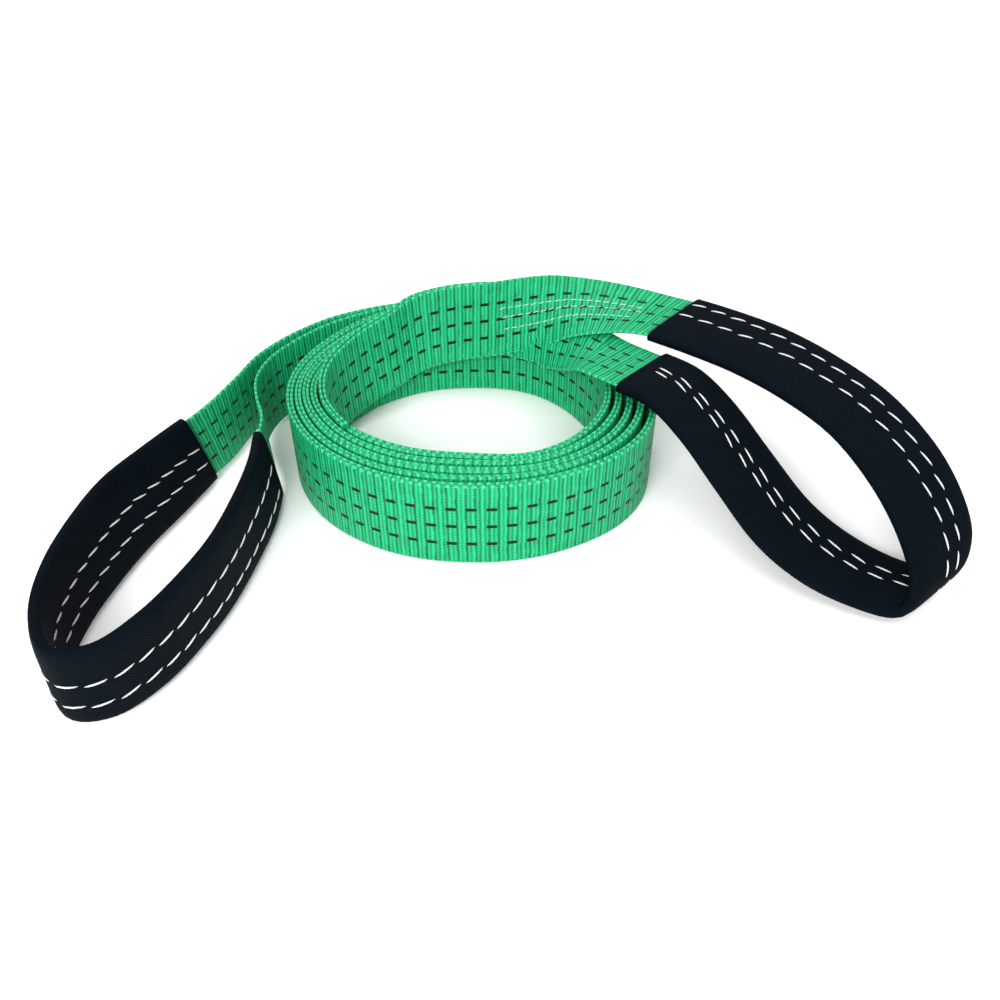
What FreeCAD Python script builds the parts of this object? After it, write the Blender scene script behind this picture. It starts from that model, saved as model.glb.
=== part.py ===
import FreeCAD, Part
import math
import os

# Flat web sling: two plies of 60 mm polyester webbing with a sleeved eye at each end.
# The body is wound on edge into a flat coil.  Z is up, the coil stands on z = 0 and its
# middle is the origin.  The left eye stands on edge; the right eye lies over on its side.
# All sizes are in millimetres and all angles in degrees.

# Webbing
web_width = 60.0
web_thickness = 2.1
ply_gap = 0.2
eye_web_width = 46.0
leg_end_width = 50.0
lower_end_width = 38.0

# Coil: distances from the middle to the webbing's faces, one every 30 degrees from +X
outer_face_radii = (123, 117, 114, 116, 123, 121, 123, 121, 116.5, 114, 118, 126.5)
inner_face_radii = (90, 86.5, 85, 81.5, 84.5, 91, 98, 92, 84, 80, 88, 91)
coil_start_angle = 113.0
coil_end_angle = 215.0
full_turns = 5
outer_turn_share = 0.28
turns_across_pack = 4
climb_angle = 100.0
climb_stations = 6
climb_height = 26.0
climb_lean = 0.1
climb_curve = 1.6
climb_clearance = 2.8
climb_start_turns = 0.006
climb_ply_gap = 0.3

# Sleeves
sleeve_width = 54.0
sleeve_thickness = 8.0
sleeve_wall = 2.0

# Sewing: two rows run along each sleeve and show on both of its faces
thread_width = 1.2
thread_height = 0.5
thread_clearance = 0.4
sleeve_row_offset = 3.0
sleeve_row_pitch = 16.0

# Webbing width and sleeve thickness that the routes below are drawn for.  The routes'
# heights follow the webbing's width in proportion.  Where the right end crosses over the
# pack it leans, so each ply there also moves by a share of the change in width.
route_web_width = 60.0
route_sleeve_thickness = 8.0
upper_crossing_share = 0.15
lower_crossing_share = 0.09

# Points that a smooth line is drawn through
points_per_turn = 36
points_per_station = 3
direction_step = 0.002

UP = (0, 0, 1)

# Left eye, from the sewn end round the loop and back: centre of the band, then the
# direction across the band.
left_far_leg = [
    ((-51.5, 109, 30), UP),
    ((-77, 101.5, 30), UP),
    ((-104, 88, 30), UP),
    ((-128, 66, 30), UP),
    ((-146, 40, 30), UP),
    ((-155, 14, 30), UP),
    ((-164, -14, 30), (-0.1, -0.08, 1)),
]
left_loop = [
    ((-174, -35, 30), (-0.18, -0.12, 1)),
    ((-188, -66, 30), (-0.25, 0.0, 1)),
    ((-202, -98, 30), (-0.28, 0.08, 1)),
    ((-210, -131, 30), (-0.21, 0.04, 1)),
    ((-214, -165, 30), (-0.11, -0.02, 1)),
    ((-211, -199, 30), (0.0, -0.02, 1)),
    ((-197, -225, 30), (0.06, -0.02, 1)),
    ((-175, -224, 30), (0.05, -0.02, 1)),
    ((-157, -204, 30), (0.0, -0.03, 1)),
    ((-144, -177, 30), (0.0, -0.02, 1)),
    ((-134, -147, 30), (0.0, 0.0, 1)),
    ((-128, -112, 30), (-0.03, 0.02, 1)),
    ((-125, -80, 30), (-0.08, 0.02, 1)),
    ((-126, -52, 30), (-0.12, 0.0, 1)),
]
left_near_leg = [
    ((-130, -30, 30), (-0.04, 0.0, 1)),
    ((-138, -10, 30), UP),
    ((-142, 12, 30), UP),
    ((-137, 36, 30), UP),
    ((-122, 60, 30), UP),
    ((-101, 81.5, 30), UP),
    ((-75.5, 97, 30), UP),
    ((-50.5, 106.2, 30), UP),
]

# Right end: the innermost turn climbs out of the coil and crosses over the pack.  The
# upper ply goes on in a straight line and the lower ply turns down below it.
upper_crossing = [
    ((-17, 73.5, 59), (0.0, 0.12, 1)),
    ((16, 72.5, 61), (0.02, 0.18, 1)),
    ((44, 72, 72), (0.05, 0.6, 1)),
    ((70, 69.5, 81), (0.13, 0.95, 0.4)),
    ((97, 65, 81), (0.4, 0.9, 0.26)),
    ((124, 58, 78), (0.7, 0.7, 0.15)),
]
lower_crossing = [
    ((33, 73, 57.5), (0.04, 0.33, 1)),
    ((46, 62.6, 52.6), (0.1, 0.6, 0.8)),
    ((56, 46, 52), (0.13, 0.85, 0.68)),
    ((74, 36, 64.5), (0.45, 1, 0.25)),
    ((88.5, 22.5, 65), (0.7, 0.7, 0.03)),
]
right_upper_leg_start = ((127.5, 56, 78), (0.7, 0.7, 0.15))
right_loop = [
    ((138, 47, 78.5), (0.75, 0.66, 0.16)),
    ((161, 27, 80), (0.74, 0.67, 0.16)),
    ((187, 4, 80), (0.74, 0.67, 0.16)),
    ((213, -23, 77), (0.76, 0.65, 0.14)),
    ((237, -54, 71), (0.8, 0.6, 0.12)),
    ((255, -87, 59), (0.83, 0.56, 0.12)),
    ((267, -112, 42), (0.82, 0.57, 0.13)),
    ((272, -131, 24), (0.8, 0.6, 0.14)),
    ((264, -142, 10), (0.79, 0.61, 0.1)),
    ((242, -135, 7), (0.78, 0.62, 0.0)),
    ((214, -119, 12), (0.75, 0.66, 0.0)),
    ((190, -97, 22), (0.74, 0.67, 0.0)),
    ((169, -68, 39), (0.73, 0.68, 0.0)),
    ((150, -42, 56), (0.72, 0.69, 0.0)),
    ((131, -20, 67), (0.71, 0.7, 0.0)),
    ((112, -1, 67), (0.7, 0.7, 0.02)),
]
right_lower_leg_end = ((91, 20, 65), (0.7, 0.7, 0.03))


def spline_values(before, start, end, after, share):
    """Smooth value between start and end that also follows its two neighbours."""
    slope = 0.5 * (end - before)
    next_slope = 0.5 * (after - start)
    square = share * share
    cube = square * share
    keep = start * (2 * cube - 3 * square + 1) + slope * (cube - 2 * square + share)
    return keep + end * (3 * square - 2 * cube) + next_slope * (cube - square)


def ring_radius(radii, angle):
    """Distance from the middle to one face of the coil at an angle."""
    place = (angle % 360.0) / 360.0 * len(radii)
    first = int(place)
    around = [radii[(first + step) % len(radii)] for step in (-1, 0, 1, 2)]
    return spline_values(*around, place - first)


def inward_share(turns):
    """How far across the pack the strap has moved after this many turns."""
    if turns < 1:
        return outer_turn_share * turns
    return outer_turn_share + (1 - outer_turn_share) * (turns - 1) / (turns_across_pack - 1)


def coil_middle(turns):
    """Point midway between the two plies after this many turns, clockwise from above."""
    angle = coil_start_angle - 360.0 * turns
    half_pair = web_thickness + ply_gap / 2
    outermost = ring_radius(outer_face_radii, angle) - half_pair
    innermost = ring_radius(inner_face_radii, angle) + half_pair
    radius = outermost + (innermost - outermost) * inward_share(turns)
    turned = math.radians(angle)
    return FreeCAD.Vector(radius * math.cos(turned), radius * math.sin(turned), 0)


def coil_point(turns, outward):
    """Point of the coil moved outward across the strap's thickness."""
    along = coil_middle(turns + direction_step) - coil_middle(turns - direction_step)
    along.normalize()
    return coil_middle(turns) + FreeCAD.Vector(-along.y, along.x, 0) * outward


def spiral_edge(outward, last_turn):
    """One face of a ply, seen from above."""
    count = int(last_turn * points_per_turn) + 2
    curve = Part.BSplineCurve()
    curve.interpolate([coil_point(last_turn * i / (count - 1), outward) for i in range(count)])
    return curve.toShape()


def coil_ply(middle_outward, last_turn):
    """One ply of the coil, standing on edge."""
    far = spiral_edge(middle_outward + web_thickness / 2, last_turn)
    near = spiral_edge(middle_outward - web_thickness / 2, last_turn)
    first_end = Part.LineSegment(near.Vertexes[0].Point, far.Vertexes[0].Point).toShape()
    last_end = Part.LineSegment(far.Vertexes[-1].Point, near.Vertexes[-1].Point).toShape()
    outline = Part.Wire([far, last_end, near, first_end])
    return Part.Face(outline).extrude(FreeCAD.Vector(0, 0, web_width))


def smooth_route(stations, steps_between=points_per_station):
    """Frames (place, across, normal) on a smooth line through the stations."""
    rows = []
    for centre, across in stations:
        direction = FreeCAD.Vector(*across)
        direction.normalize()
        rows.append(tuple(centre) + (direction.x, direction.y, direction.z))
    rows = [rows[0]] + rows + [rows[-1]]
    route = []
    for index in range(1, len(rows) - 2):
        for step in range(steps_between):
            around = zip(*rows[index - 1:index + 3])
            route.append([spline_values(*values, step / steps_between) for values in around])
    route.append(list(rows[-1]))
    places = [FreeCAD.Vector(*row[:3]) for row in route]
    frames = []
    for index, row in enumerate(route):
        along = places[min(index + 1, len(places) - 1)] - places[max(index - 1, 0)]
        across = FreeCAD.Vector(*row[3:])
        across.normalize()
        normal = along.cross(across)
        normal.normalize()
        frames.append((places[index], across, normal))
    return frames


def ruled_face(first, second):
    """Straight-ruled face between two curves that share their knots."""
    poles = [first.getPoles(), second.getPoles()]
    knots = first.getKnots()
    mults = first.getMultiplicities()
    surface = Part.BSplineSurface()
    surface.buildFromPolesMultsKnots(
        poles, [2, 2], mults, [0.0, 1.0], knots, False, False, 1, first.Degree
    )
    return surface.toShape()


def curve_through(points):
    curve = Part.BSplineCurve()
    curve.interpolate(Points=points, Parameters=[float(i) for i in range(len(points))])
    return curve


def band(frames, widths, thickness, lift=0.0, shift=0.0):
    """Solid band along frames.  lift moves it off the face and shift moves it across."""
    corners = [[], [], [], []]
    for index, (place, across, normal) in enumerate(frames):
        share = index / (len(frames) - 1)
        half_width = (widths[0] + (widths[-1] - widths[0]) * share) / 2
        middle = place + normal * lift + across * shift
        for line, (side, face) in zip(corners, ((1, 1), (-1, 1), (-1, -1), (1, -1))):
            line.append(middle + across * side * half_width + normal * face * thickness / 2)
    curves = [curve_through(line) for line in corners]
    faces = [ruled_face(curves[i], curves[(i + 1) % 4]) for i in range(4)]
    for end in (0, -1):
        tip = [line[end] for line in corners]
        lower = curve_through([tip[0], tip[1]])
        upper = curve_through([tip[3], tip[2]])
        faces.append(ruled_face(lower, upper))
    shell = Part.makeShell(faces)
    shell.sewShape()
    solid = Part.makeSolid(shell)
    if solid.Volume < 0:
        solid.reverse()
    return solid


def sleeve(frames):
    """Flat woven tube open at both ends."""
    outside = band(frames, [sleeve_width], sleeve_thickness)
    room_width = sleeve_width - 2 * sleeve_wall
    room_thickness = sleeve_thickness - 2 * sleeve_wall
    room = band(frames, [room_width], room_thickness)
    return outside.cut(room)


def stitch_rows(frames, offset, surface):
    """The same sewing row seen on both faces of a band."""
    lift = surface + thread_clearance + thread_height / 2
    front = band(frames, [thread_width], thread_height, lift, offset)
    back = band(frames, [thread_width], thread_height, -lift, offset)
    return Part.makeCompound([front, back])


def raised(stations, lift=0.0):
    """The stations at the height that the webbing's width asks for."""
    growth = web_width / route_web_width
    return [((x, y, z * growth + lift), across) for (x, y, z), across in stations]


def climbing_ply(outward):
    """Stations of one ply of the innermost turn while it rises from the coil."""
    first_turn = full_turns - (coil_end_angle - coil_start_angle) / 360.0
    stations = []
    for index in range(climb_stations):
        share = index / (climb_stations - 1)
        turns = first_turn + climb_angle * share / 360.0 + climb_start_turns
        place = coil_point(turns, outward - climb_clearance * share)
        rise = climb_height * share ** climb_curve
        lean = climb_lean * share ** 2
        length = math.hypot(place.x, place.y)
        across = (place.x / length * lean, place.y / length * lean, 1)
        stations.append(((place.x, place.y, web_width / 2 + rise), across))
    return stations


def offset_stations(stations, amount):
    """The same stations moved off the band's face."""
    moved = []
    for place, across, normal in smooth_route(stations, 1):
        centre = place + normal * amount
        moved.append(((centre.x, centre.y, centre.z), (across.x, across.y, across.z)))
    return moved


pieces = {}
pitch = web_thickness + ply_gap
coil_turns = full_turns - (coil_end_angle - coil_start_angle) / 360.0
pieces["coil_outer_ply"] = coil_ply(pitch / 2, coil_turns)
pieces["coil_inner_ply"] = coil_ply(-pitch / 2, coil_turns)

width_change = web_width - route_web_width
upper_stations = climbing_ply(-pitch / 2)
upper_stations += raised(upper_crossing, width_change * upper_crossing_share)
plies_together = climb_stations + 2
beside_upper = -web_thickness - climb_ply_gap
lower_stations = offset_stations(upper_stations, beside_upper)[:plies_together]
lower_stations += raised(lower_crossing, width_change * lower_crossing_share)
upper_frames = smooth_route(upper_stations)
lower_frames = smooth_route(lower_stations)
pieces["rising_upper_ply"] = band(upper_frames, [web_width, leg_end_width], web_thickness)
pieces["rising_lower_ply"] = band(lower_frames, [web_width, lower_end_width], web_thickness)

far_frames = smooth_route(raised(left_far_leg))
near_frames = smooth_route(raised(left_near_leg))
left_stations = raised([left_far_leg[-1]] + left_loop + [left_near_leg[0]])
left_frames = smooth_route(left_stations)
pieces["left_far_leg"] = band(far_frames, [web_width, leg_end_width], web_thickness)
pieces["left_near_leg"] = band(near_frames, [leg_end_width, web_width], web_thickness)
left_sleeve_frames = smooth_route(left_stations[1:-1])
pieces["left_eye_webbing"] = band(left_frames[1:-1], [eye_web_width], web_thickness)
pieces["left_sleeve"] = sleeve(left_sleeve_frames)

sleeve_lift = (sleeve_thickness - route_sleeve_thickness) / 2
right_stations = [right_upper_leg_start] + right_loop + [right_lower_leg_end]
right_stations = raised(right_stations, sleeve_lift)
right_frames = smooth_route(right_stations)
pieces["right_eye_webbing"] = band(right_frames, [eye_web_width], web_thickness)
right_sleeve_frames = smooth_route(right_stations[1:-1])
pieces["right_sleeve"] = sleeve(right_sleeve_frames)

half_sleeve = sleeve_thickness / 2
sewn_sleeves = {"left": left_sleeve_frames, "right": right_sleeve_frames}
for side, frames in sewn_sleeves.items():
    for name, offset in (("upper", 0.0), ("lower", -sleeve_row_pitch)):
        row = stitch_rows(frames, sleeve_row_offset + offset, half_sleeve)
        pieces[side + "_sleeve_" + name + "_seam"] = row

os.makedirs("parts", exist_ok=True)
for name, piece in pieces.items():
    piece.exportStep("parts/" + name + ".step")
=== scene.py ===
import bpy
import math
import random
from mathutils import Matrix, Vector


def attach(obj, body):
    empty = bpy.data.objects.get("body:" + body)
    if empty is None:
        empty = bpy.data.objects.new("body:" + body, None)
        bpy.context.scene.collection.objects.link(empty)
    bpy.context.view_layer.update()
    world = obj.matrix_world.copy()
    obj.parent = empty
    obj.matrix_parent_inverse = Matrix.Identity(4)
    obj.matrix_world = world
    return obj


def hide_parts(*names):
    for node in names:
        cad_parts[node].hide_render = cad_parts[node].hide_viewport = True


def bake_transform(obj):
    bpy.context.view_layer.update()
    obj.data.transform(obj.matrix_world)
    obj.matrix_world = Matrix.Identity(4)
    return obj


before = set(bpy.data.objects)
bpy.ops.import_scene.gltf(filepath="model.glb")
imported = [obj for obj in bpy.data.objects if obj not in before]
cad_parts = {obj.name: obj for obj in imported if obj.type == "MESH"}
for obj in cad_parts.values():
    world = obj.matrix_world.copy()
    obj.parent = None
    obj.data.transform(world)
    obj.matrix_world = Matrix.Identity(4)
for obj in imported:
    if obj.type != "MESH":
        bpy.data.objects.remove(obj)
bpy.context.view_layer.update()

# The room: a pale sheet of card under the sling, which nothing is fixed to.
# Three soft lamps light the sling and a fourth lights the card behind it.  The camera
# looks down at the coil.


def paint_backdrop():
    material = bpy.data.materials.new("pale_card")
    material.use_nodes = True
    shader = material.node_tree.nodes["Principled BSDF"]
    shader.inputs["Base Color"].default_value = (1.0, 1.0, 1.0, 1)
    shader.inputs["Roughness"].default_value = 0.9
    shader.inputs["Specular IOR Level"].default_value = 0.1
    return material


bpy.ops.mesh.primitive_plane_add(size=8, location=(0, 0, -0.0004))
backdrop = bpy.context.object
backdrop.name = "backdrop"
backdrop.data.materials.append(paint_backdrop())


def hang_lamp(name, place, aim, size, power):
    light = bpy.data.lights.new(name, "AREA")
    light.shape = "RECTANGLE"
    light.size = size[0]
    light.size_y = size[1]
    light.energy = power
    lamp = bpy.data.objects.new(name, light)
    lamp.location = place
    towards = Vector(aim) - Vector(place)
    lamp.rotation_euler = towards.to_track_quat("-Z", "Y").to_euler()
    bpy.context.collection.objects.link(lamp)


hang_lamp("overhead_softbox", (0.15, -0.2, 1.5), (0, 0, 0), (1.4, 1.0), 12)
hang_lamp("front_softbox", (-0.35, -1.3, 0.9), (0, 0, 0), (0.8, 0.5), 27)
hang_lamp("right_softbox", (1.3, -0.2, 0.8), (0, 0, 0), (0.9, 0.9), 4)
hang_lamp("floor_wash", (0, 2.2, 1.6), (0, 1.6, 0), (4, 1.6), 45)
world = bpy.data.worlds.new("studio")
world.use_nodes = True
world.node_tree.nodes["Background"].inputs["Color"].default_value = (1, 1, 1, 1)
world.node_tree.nodes["Background"].inputs["Strength"].default_value = 0.3
bpy.context.scene.world = world
bpy.context.scene.view_settings.view_transform = "Standard"

lens = bpy.data.cameras.new("camera")
lens.lens = 34.2
lens.sensor_width = 36
camera = bpy.data.objects.new("camera", lens)
camera.location = (0.020, -0.525, 0.3988)
camera.rotation_euler = (math.radians(50), 0, 0)
bpy.context.collection.objects.link(camera)
bpy.context.scene.camera = camera


# Green webbing: woven polyester, ribbed across its width, with three black marker yarns
# that show as rows of dashes and a knitted selvedge. Both selvedges are painted darker as painted
# shade between the plies, and their loops carry painted glints as bright ticks.  Cloth
# coordinates are in millimetres, across the webbing and along it.


class Signal:
    """A value on its way through a material's nodes."""

    def __init__(self, tree, socket=None):
        self.tree = tree
        self.socket = socket

    def node(self, kind, settings=None, inputs=None, output=0):
        made = self.tree.nodes.new(kind)
        for name, value in (settings or {}).items():
            setattr(made, name, value)
        for name, value in (inputs or {}).items():
            if isinstance(value, Signal):
                self.tree.links.new(value.socket, made.inputs[name])
            else:
                made.inputs[name].default_value = value
        return Signal(self.tree, made.outputs[output])

    def math(self, operation, *values):
        return self.node("ShaderNodeMath", {"operation": operation}, dict(enumerate(values)))

    def __add__(self, other):
        return self.math("ADD", self, other)

    def __radd__(self, other):
        return self.math("ADD", other, self)

    def __sub__(self, other):
        return self.math("SUBTRACT", self, other)

    def __rsub__(self, other):
        return self.math("SUBTRACT", other, self)

    def __mul__(self, other):
        return self.math("MULTIPLY", self, other)

    def __rmul__(self, other):
        return self.math("MULTIPLY", other, self)

    def __truediv__(self, other):
        return self.math("DIVIDE", self, other)

    def __rtruediv__(self, other):
        return self.math("DIVIDE", other, self)

    def wave(self, pitch):
        """0 to 1 and back once every pitch."""
        return self.math("SINE", self * (2 * math.pi / pitch)) * 0.5 + 0.5

    def near(self, centre, reach, softness=0.25):
        """1 within reach of centre and 0 well outside it."""
        distance = self.math("ABSOLUTE", self - centre)
        inputs = {0: distance, 1: reach + softness, 2: reach - softness, 3: 0.0, 4: 1.0}
        return self.node("ShaderNodeMapRange", {"clamp": True}, inputs)

    def blend(self, first, second):
        """Colour first where this is 0 and second where it is 1."""
        inputs = {0: self, 6: first, 7: second}
        return self.node("ShaderNodeMix", {"data_type": "RGBA"}, inputs, 2)


def new_cloth(name, roughness, sheen):
    material = bpy.data.materials.new(name)
    material.use_nodes = True
    shader = material.node_tree.nodes["Principled BSDF"]
    shader.inputs["Roughness"].default_value = roughness
    shader.inputs["Sheen Weight"].default_value = sheen
    start = Signal(material.node_tree)
    cloth = start.node("ShaderNodeUVMap", {"uv_map": "cloth"})
    across = start.node("ShaderNodeSeparateXYZ", None, {0: cloth})
    along = Signal(start.tree, across.socket.node.outputs[1])
    return material, shader, across, along, cloth


def finish_cloth(shader, colour, height, depth):
    tree = colour.tree
    tree.links.new(colour.socket, shader.inputs["Base Color"])
    bump = colour.node("ShaderNodeBump", None, {"Strength": 0.9, "Distance": depth, "Height": height})
    tree.links.new(bump.socket, shader.inputs["Normal"])


def weave_webbing():
    material, shader, across, along, cloth = new_cloth("green_webbing", 0.5, 0.0)
    shader.inputs["Specular IOR Level"].default_value = 0.2
    drift = across.node("ShaderNodeTexNoise", None, {"Vector": cloth, "Scale": 0.12, "Detail": 3.0})
    fuzz = across.node("ShaderNodeTexNoise", None, {"Vector": cloth, "Scale": 1.7, "Detail": 2.0})
    wander = drift * 0.9 - 0.45
    rib_pitch, ladder_pitch, warp_pitch, pick_pitch = 2.7, 6.1, 1.25, 2.5
    rib = (along + wander * 1.6).wave(rib_pitch)
    ladder = (along + wander * 3.0).wave(ladder_pitch)
    warp = (across + wander * 0.3).wave(warp_pitch)
    pick = (across + along * 0.5).wave(pick_pitch)
    height = rib * 0.8 + warp * 0.35 + fuzz * 0.3
    tone = rib * (warp * 0.6 + 0.35) + ladder * 0.35 + pick * 0.1 + fuzz * 0.6 + drift * 0.6 - 0.6
    green = tone.blend((0.0, 0.10, 0.034, 1), (0.012, 0.56, 0.225, 1))
    selvedge_glint_pitch = 5.2
    edge = across.near(0.6, 0.7, 0.3) + across.near(59.4, 0.7, 0.3)
    selvedge_loop_glints = edge * along.wave(selvedge_glint_pitch).near(1.0, 0.3, 0.2)
    # Painted shade: both selvedge bands are blended darker green, standing in for the shade between
    # the plies.
    green = (edge * 0.35).blend(green, (0.01, 0.34, 0.15, 1))
    # Painted glints: a bright pale-green tick on each knitted loop along the selvedges.
    green = (selvedge_loop_glints * 0.45).blend(green, (0.15, 0.8, 0.4, 1))
    dash_pitch, dash_half_width = 11.9, 1.15
    first_row, middle_row, last_row = (
        across.near(centre, dash_half_width, 0.2) for centre in (15.9, 29.4, 42.6)
    )
    dash = along.math("FRACT", along / dash_pitch).near(0.5, 0.26, 0.04)
    marks = (first_row + middle_row + last_row) * dash
    marked = marks.math("MINIMUM", marks, 1.0)
    colour = marked.blend(green, (0.001, 0.004, 0.004, 1))
    finish_cloth(shader, colour, height, 0.0005)
    return material


green_webbing = weave_webbing()


# Body of the sling: two plies of webbing laid face to face and wound together, standing
# on their lower selvedges.  The plies are sewn to each other near both ends.


def spline_value(before, start, end, after, share):
    slope = 0.5 * (end - before)
    next_slope = 0.5 * (after - start)
    square = share * share
    cube = square * share
    keep = start * (2 * cube - 3 * square + 1) + slope * (cube - 2 * square + share)
    return keep + end * (3 * square - 2 * cube) + next_slope * (cube - square)


# Distances in millimetres from the coil's middle to its two faces, one every 30 degrees.
outer_face = (123, 117, 114, 116, 123, 121, 123, 121, 116.5, 114, 118, 126.5)
inner_face = (90, 86.5, 85, 81.5, 84.5, 91, 98, 92, 84, 80, 88, 91)
coil_start_angle = 113.0
half_pair = 2.2
outer_turn_share = 0.28
later_turn_share = 0.24
ply_offset = 1.15
ply_width = 59.6
ply_thickness = 2.1
strap_thickness = 2.0
cloth_width = 60.0
mm = 0.001


def ring_radius(radii, angle):
    place = (angle % 360.0) / 360.0 * len(radii)
    first = int(place)
    around = [radii[(first + step) % len(radii)] for step in (-1, 0, 1, 2)]
    return spline_value(*around, place - first)


def coil_middle(turns):
    angle = coil_start_angle - 360.0 * turns
    outermost = ring_radius(outer_face, angle) - half_pair
    innermost = ring_radius(inner_face, angle) + half_pair
    share = outer_turn_share * turns
    if turns >= 1:
        share = outer_turn_share + later_turn_share * (turns - 1)
    radius = outermost + (innermost - outermost) * share
    turned = math.radians(angle)
    return Vector((radius * math.cos(turned), radius * math.sin(turned), 0))


def coil_point(turns, outward):
    along = (coil_middle(turns + 0.002) - coil_middle(turns - 0.002)).normalized()
    return coil_middle(turns) + Vector((-along.y, along.x, 0)) * outward


def weave_strip(name, frames, widths, thickness):
    """Closed strip with soft edges along frames of (centre, across), in millimetres."""
    half = thickness / 2
    outline = [(-1, 0), (-0.985, 0.75), (-0.95, 1)]
    outline += [(x / 5, 1) for x in range(-4, 5)] + [(0.95, 1), (0.985, 0.75), (1, 0)]
    outline += [(-x, -y) for x, y in outline[1:-1]]
    count = len(outline)
    corners, cloth, faces = [], [], []
    travelled = 0.0
    for index, (centre, across) in enumerate(frames):
        before = frames[max(index - 1, 0)][0]
        after = frames[min(index + 1, len(frames) - 1)][0]
        if index:
            travelled += (centre - before).length
        normal = (after - before).cross(across).normalized()
        share = index / (len(frames) - 1) * (len(widths) - 1)
        first = min(int(share), len(widths) - 2)
        width = widths[first] + (widths[first + 1] - widths[first]) * (share - first)
        for side, face in outline:
            place = centre + across * side * width / 2 + normal * face * half
            corners.append(place * mm)
            cloth.append(((side + 1) / 2 * cloth_width, travelled))
    for ring in range(len(frames) - 1):
        for step in range(count):
            following = (step + 1) % count
            low = ring * count
            faces.append((low + step, low + following, low + count + following, low + count + step))
    last = (len(frames) - 1) * count
    faces.append(tuple(reversed(range(count))))
    faces.append(tuple(last + step for step in range(count)))
    return sew_mesh(name, corners, faces, cloth, green_webbing)


def sew_mesh(name, corners, faces, cloth, material):
    mesh = bpy.data.meshes.new(name)
    mesh.from_pydata(corners, [], faces)
    layer = mesh.uv_layers.new(name="cloth")
    for loop in mesh.loops:
        layer.data[loop.index].uv = cloth[loop.vertex_index]
    mesh.materials.append(material)
    for polygon in mesh.polygons:
        polygon.use_smooth = len(polygon.vertices) < 5
    mesh.validate()
    piece = bpy.data.objects.new(name, mesh)
    bpy.context.collection.objects.link(piece)
    return piece


up = Vector((0, 0, 1))
middle_height = 30
first_turn = 0.012
last_turn = 5 - 102.0 / 360.0
coil_steps = 820
for node, outward, sway in (
    ("coil_outer_ply", ply_offset, 1.0),
    ("coil_inner_ply", -ply_offset, 2.3),
):
    frames = []
    for step in range(coil_steps + 1):
        turns = first_turn + (last_turn - first_turn) * step / coil_steps
        height = middle_height + 0.5 * math.sin(turns * 9 + sway) * min(1, turns)
        centre = coil_point(turns, outward) + up * height
        frames.append((centre, up))
    ply = weave_strip(node + "_webbing", frames, [ply_width, ply_width], ply_thickness)
    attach(ply, "coil")
    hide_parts(node)


# Left end: the two plies leave the coil together, then part into the legs of the eye.
# Each leg narrows where it goes into the sleeve.


def smooth_route(stations, steps=6):
    rows = []
    for centre, across in stations:
        rows.append(tuple(centre) + tuple(Vector(across).normalized()))
    rows = [rows[0]] + rows + [rows[-1]]
    frames = []
    for index in range(1, len(rows) - 2):
        for step in range(steps):
            around = zip(*rows[index - 1:index + 3])
            values = [spline_value(*four, step / steps) for four in around]
            frames.append((Vector(values[:3]), Vector(values[3:]).normalized()))
    frames.append((Vector(rows[-1][:3]), Vector(rows[-1][3:])))
    return frames


def coil_lead(outward):
    """The last of the coil before the hinge, so that the strap runs on unbroken."""
    stations = []
    for turns in (first_turn, first_turn / 3):
        centre = coil_point(turns, outward) + up * middle_height
        stations.append((tuple(centre), (0, 0, 1)))
    return stations


left_far_leg = [
    ((-51.5, 109, 30), (0, 0, 1)),
    ((-77, 101.5, 30), (0, 0, 1)),
    ((-104, 88, 30), (0, 0, 1)),
    ((-128, 66, 30), (0, 0, 1)),
    ((-146, 40, 30), (0, 0, 1)),
    ((-155, 14, 30), (0, 0, 1)),
    ((-164, -14, 30), (-0.1, -0.08, 1)),
    ((-174, -35, 30), (-0.18, -0.12, 1)),
    ((-181, -50, 30), (-0.2, -0.08, 1)),
]
left_near_leg = [
    ((-50.5, 106.2, 30), (0, 0, 1)),
    ((-75.5, 97, 30), (0, 0, 1)),
    ((-101, 81.5, 30), (0, 0, 1)),
    ((-122, 60, 30), (0, 0, 1)),
    ((-137, 36, 30), (0, 0, 1)),
    ((-142, 12, 30), (0, 0, 1)),
    ((-138, -10, 30), (0, 0, 1)),
    ((-130, -30, 30), (-0.04, 0, 1)),
    ((-126, -52, 30), (-0.12, 0, 1)),
    ((-125.3, -66, 30), (-0.1, 0, 1)),
]
for node, outward, stations, length in (
    ("left_far_leg", ply_offset, left_far_leg, 0.225),
    ("left_near_leg", -ply_offset, left_near_leg, 0.235),
):
    frames = smooth_route(coil_lead(outward) + stations)
    leg = weave_strip(node + "_webbing", frames, [ply_width, 47], strap_thickness)
    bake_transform(leg)
    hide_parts(node)


# Left eye: the webbing runs on round the loop inside its sleeve, where little of it
# shows.

left_loop = [
    ((-174, -35, 30), (-0.18, -0.12, 1)),
    ((-188, -66, 30), (-0.25, 0.0, 1)),
    ((-202, -98, 30), (-0.28, 0.08, 1)),
    ((-210, -131, 30), (-0.21, 0.04, 1)),
    ((-214, -165, 30), (-0.11, -0.02, 1)),
    ((-211, -199, 30), (0.0, -0.02, 1)),
    ((-197, -225, 30), (0.06, -0.02, 1)),
    ((-175, -224, 30), (0.05, -0.02, 1)),
    ((-157, -204, 30), (0.0, -0.03, 1)),
    ((-144, -177, 30), (0.0, -0.02, 1)),
    ((-134, -147, 30), (0.0, 0.0, 1)),
    ((-128, -112, 30), (-0.03, 0.02, 1)),
    ((-125, -80, 30), (-0.08, 0.02, 1)),
    ((-126, -52, 30), (-0.12, 0.0, 1)),
]


def lay_eye_webbing(node, stations, body):
    frames = smooth_route(stations)[6:-6]
    piece = weave_strip(node + "_strap", frames, [45, 45], strap_thickness)
    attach(piece, body)
    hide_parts(node)


lay_eye_webbing("left_eye_webbing", left_loop, "left_end")


# Eye sleeves: flat tubes of black woven polyester pulled over the webbing, open at both
# mouths, with soft rolled edges.


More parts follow.
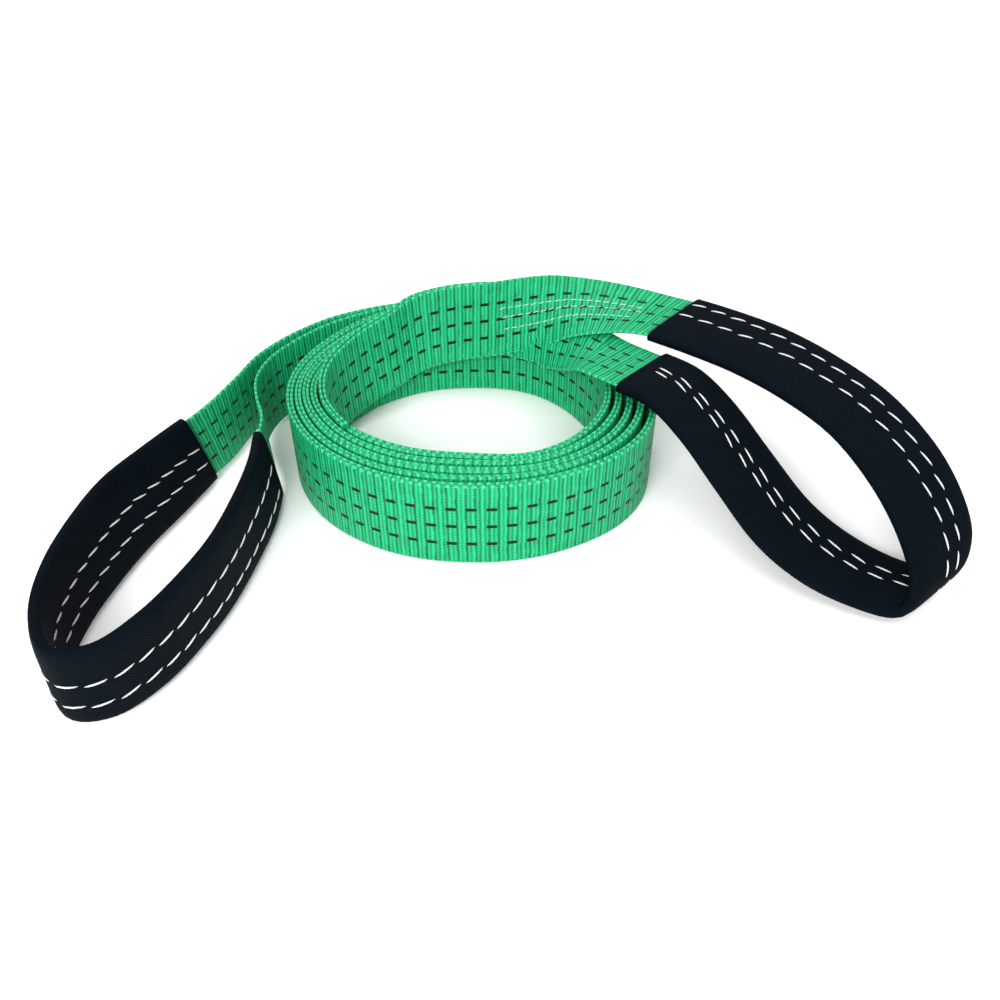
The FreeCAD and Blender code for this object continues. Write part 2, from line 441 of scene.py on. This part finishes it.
def weave_sleeve_cloth():
    material, shader, across, along, cloth = new_cloth("black_sleeve", 0.72, 0.0)
    shader.inputs["Specular IOR Level"].default_value = 0.04
    fuzz = across.node("ShaderNodeTexNoise", None, {"Vector": cloth, "Scale": 1.3, "Detail": 3.0})
    patch = across.node("ShaderNodeTexNoise", None, {"Vector": cloth, "Scale": 0.05, "Detail": 2.0})
    thread_pitch = 2.2
    first = (across + along * 0.9).wave(thread_pitch)
    second = (across - along * 0.9).wave(thread_pitch)
    basket = first * second
    height = basket * 0.8 + fuzz * 0.4
    tone = basket * 0.45 + fuzz * 0.3 + patch * 0.35 - 0.1
    colour = tone.blend((0.0004, 0.0014, 0.003, 1), (0.003, 0.0085, 0.0155, 1))
    finish_cloth(shader, colour, height, 0.0007)
    return material


black_sleeve = weave_sleeve_cloth()


def pull_sleeve(node, stations, body):
    """Flat tube with a wall, open at both ends."""
    frames = smooth_route(stations)
    points_round = 28
    outline = []
    for step in range(points_round):
        turned = 2 * math.pi * step / points_round
        across = math.copysign(abs(math.cos(turned)) ** 0.35, math.cos(turned))
        face = math.copysign(abs(math.sin(turned)) ** 0.6, math.sin(turned))
        outline.append((across, face))
    count = len(outline)
    half_cloth = 27.0
    outside, inside = (half_cloth, 3.9), (24.6, 2.0)
    corners, cloth, faces = [], [], []
    travelled = 0.0
    for index, (centre, across) in enumerate(frames):
        before = frames[max(index - 1, 0)][0]
        after = frames[min(index + 1, len(frames) - 1)][0]
        if index:
            travelled += (centre - before).length
        normal = (after - before).cross(across).normalized()
        for half_width, half_depth in (outside, inside):
            for side, face in outline:
                place = centre + across * side * half_width + normal * face * half_depth
                corners.append(place * mm)
                cloth.append(((side + 1) * half_cloth, travelled))
    rings = len(frames)
    for ring in range(rings - 1):
        for step in range(count):
            following = (step + 1) % count
            low = ring * count * 2
            high = low + count * 2
            faces.append((low + step, low + following, high + following, high + step))
            low += count
            high += count
            faces.append((low + following, low + step, high + step, high + following))
    for low, forward in ((0, False), ((rings - 1) * count * 2, True)):
        for step in range(count):
            following = (step + 1) % count
            face = (low + step, low + following, low + count + following, low + count + step)
            faces.append(face if forward else tuple(reversed(face)))
    piece = sew_mesh(node + "_tube", corners, faces, cloth, black_sleeve)
    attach(piece, body)
    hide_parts(node)
    return frames


left_frames = pull_sleeve("left_sleeve", left_loop, "left_end")


# Sleeve seams: white lock-stitch in two rows all along each sleeve, sunk a little into
# the cloth on both faces.


def spin_thread():
    material, shader, across, along, cloth = new_cloth("white_thread", 0.5, 0.2)
    twist = (across + along).wave(0.8)
    colour = twist.blend((0.55, 0.56, 0.55, 1), (0.88, 0.88, 0.86, 1))
    finish_cloth(shader, colour, twist, 0.0002)
    return material


white_thread = spin_thread()
hand = random.Random(7)


def sew_row(
    name, frames, offset, pitch, body=None, surface=4.0, stitch=10.4, thread=0.62, phase=0.0,
    drift=0.0, slant=0.8,
):
    """Single stitches along frames, on both faces."""
    rings, sides = 6, 6
    corners, faces, cloth = [], [], []
    travelled = 0.0
    rows = []
    for index, (centre, across) in enumerate(frames):
        before = frames[max(index - 1, 0)][0]
        after = frames[min(index + 1, len(frames) - 1)][0]
        if index:
            travelled += (centre - before).length
        normal = (after - before).cross(across).normalized()
        side = offset + drift * index / (len(frames) - 1)
        rows.append((travelled, centre + across * side, across, normal))

    def at(distance):
        for first, second in zip(rows, rows[1:]):
            if second[0] >= distance:
                share = (distance - first[0]) / (second[0] - first[0])
                return [low.lerp(high, share) for low, high in zip(first[1:], second[1:])]
        return list(rows[-1][1:])

    for face in (1, -1):
        distance = 2.0 + phase
        while distance + stitch < travelled - 1:
            length = stitch + hand.uniform(-0.5, 0.5)
            sway = slant + hand.uniform(-0.35, 0.35)
            base = len(corners)
            for step in range(rings + 1):
                share = step / rings
                place, across, normal = at(distance + length * share)
                rise = math.sin(math.pi * share) ** 0.5
                radius = thread * (0.35 + 0.65 * rise)
                middle = place + across * sway * (share - 0.5) * 2
                middle += normal * face * (surface - 0.25 + 0.5 * rise * thread)
                for turn in range(sides):
                    turned = 2 * math.pi * turn / sides
                    spot = middle + across * math.cos(turned) * radius
                    spot += normal * math.sin(turned) * radius * 0.8
                    corners.append(spot * mm)
                    cloth.append((turn * 0.4, share * length))
            for ring in range(rings):
                for turn in range(sides):
                    low = base + ring * sides + turn
                    following = base + ring * sides + (turn + 1) % sides
                    faces.append((low, following, following + sides, low + sides))
            faces.append(tuple(base + turn for turn in reversed(range(sides))))
            faces.append(tuple(base + rings * sides + turn for turn in range(sides)))
            distance += pitch
    piece = sew_mesh(name + "_stitches", corners, faces, cloth, white_thread)
    if body:
        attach(piece, body)
        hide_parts(name)
    return piece


sew_row("left_sleeve_upper_seam", left_frames, 4.0, 12.6, "left_end")
sew_row("left_sleeve_lower_seam", left_frames, -9.0, 12.6, "left_end", drift=-6.0)


# Right end: the innermost turn climbs out of the coil and leans over the pack.  Its
# upper ply crosses straight over; the lower ply comes out from under it.


def climbing_ply(outward):
    """Stations of the innermost turn while it rises, leaning out as it goes."""
    steps, sweep, start_gap = 5, 100.0, 0.006
    drawn_in, full_lean, full_rise = 2.8, 0.22, 25.5
    stations = []
    for index in range(steps):
        share = index / steps
        turns = last_turn + sweep * share / 360.0 + start_gap
        place = coil_point(turns, outward - drawn_in * share)
        lean = full_lean * share ** 2
        across = Vector((place.x, place.y, 0)).normalized() * lean + up
        height = middle_height + full_rise * share ** 1.45
        stations.append((tuple(place + up * height), tuple(across)))
    return stations


upper_crossing = [
    ((-38, 70.5, 53.6), (-0.08, 0.24, 1)),
    ((-14, 76, 58.2), (0.0, 0.33, 1)),
    ((16, 77, 62), (0.02, 0.42, 1)),
    ((46, 75, 68.5), (0.05, 0.72, 0.9)),
    ((70, 71, 75), (0.13, 0.95, 0.5)),
    ((96, 65, 77), (0.4, 0.9, 0.3)),
    ((120, 57, 77.5), (0.65, 0.75, 0.18)),
    ((138, 47, 78.5), (0.75, 0.66, 0.16)),
    ((150, 37, 79), (0.75, 0.66, 0.16)),
]
lower_crossing = [
    ((33, 74.5, 59.5), (0.04, 0.6, 1)),
    ((45, 67.5, 58), (0.1, 0.75, 0.85)),
    ((54, 60, 57.5), (0.15, 0.88, 0.68)),
    ((65, 50, 59.5), (0.27, 0.92, 0.42)),
    ((78, 35, 63.5), (0.45, 0.95, 0.18)),
    ((88.5, 22.5, 65), (0.7, 0.7, 0.03)),
    ((112, -1, 67), (0.7, 0.7, 0.02)),
    ((121, -10, 67), (0.7, 0.7, 0.01)),
]
ply_spacing = 2.4
climb = climbing_ply(-ply_offset)
shared = []
climb_frames = smooth_route(climb + upper_crossing[:4], 1)
for index, (centre, across) in enumerate(climb_frames[:-1]):
    before = climb_frames[max(index - 1, 0)][0]
    along = climb_frames[index + 1][0] - before
    shared.append((tuple(centre - along.cross(across).normalized() * ply_spacing), tuple(across)))
for node, stations, widths, length in (
    ("rising_upper_ply", climb + upper_crossing, [ply_width, 47], 0.34),
    ("rising_lower_ply", shared + lower_crossing, [ply_width, ply_width, 56, 44, 50, 46], 0.33),
):
    frames = smooth_route(stations)
    strap = weave_strip(node + "_webbing", frames, widths, strap_thickness)
    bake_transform(strap)
    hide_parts(node)


# Body stitching: pale lock-stitch that runs along the last of the webbing before the
# right eye, where the two plies are sewn together.

crossing_frames = smooth_route(climb + upper_crossing)[42:-12]
for number, offset, drift in ((1, 7.0, -3.0), (2, 0.5, -1.0), (3, -8.0, 1.0)):
    row = sew_row(
        "body_seam_" + str(number), crossing_frames, offset, 5.6, surface=1.1, stitch=4.9,
        thread=0.32, phase=number * 1.7, drift=drift, slant=0.3,
    )
    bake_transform(row)


# Right eye: the same webbing loop and sleeve, lying over on its side with its far end
# on the floor.

right_loop = [
    ((138, 47, 78.5), (0.75, 0.66, 0.16)),
    ((161, 27, 80), (0.74, 0.67, 0.16)),
    ((187, 4, 80), (0.74, 0.67, 0.16)),
    ((213, -23, 77), (0.76, 0.65, 0.14)),
    ((237, -54, 71), (0.8, 0.6, 0.12)),
    ((255, -87, 59), (0.83, 0.56, 0.12)),
    ((267, -112, 42), (0.82, 0.57, 0.13)),
    ((272, -131, 24), (0.8, 0.6, 0.14)),
    ((264, -142, 10), (0.79, 0.61, 0.1)),
    ((242, -135, 7), (0.78, 0.62, 0.0)),
    ((214, -119, 12), (0.75, 0.66, 0.0)),
    ((190, -97, 22), (0.74, 0.67, 0.0)),
    ((169, -68, 39), (0.73, 0.68, 0.0)),
    ((150, -42, 56), (0.72, 0.69, 0.0)),
    ((131, -20, 67), (0.71, 0.7, 0.0)),
    ((112, -1, 67), (0.7, 0.7, 0.02)),
]
lay_eye_webbing("right_eye_webbing", right_loop, "right_end")
right_frames = pull_sleeve("right_sleeve", right_loop, "right_end")
sew_row("right_sleeve_upper_seam", right_frames, 17.0, 15.0, "right_end", drift=-12.0)
sew_row("right_sleeve_lower_seam", right_frames, 3.0, 15.0, "right_end", drift=-3.0)

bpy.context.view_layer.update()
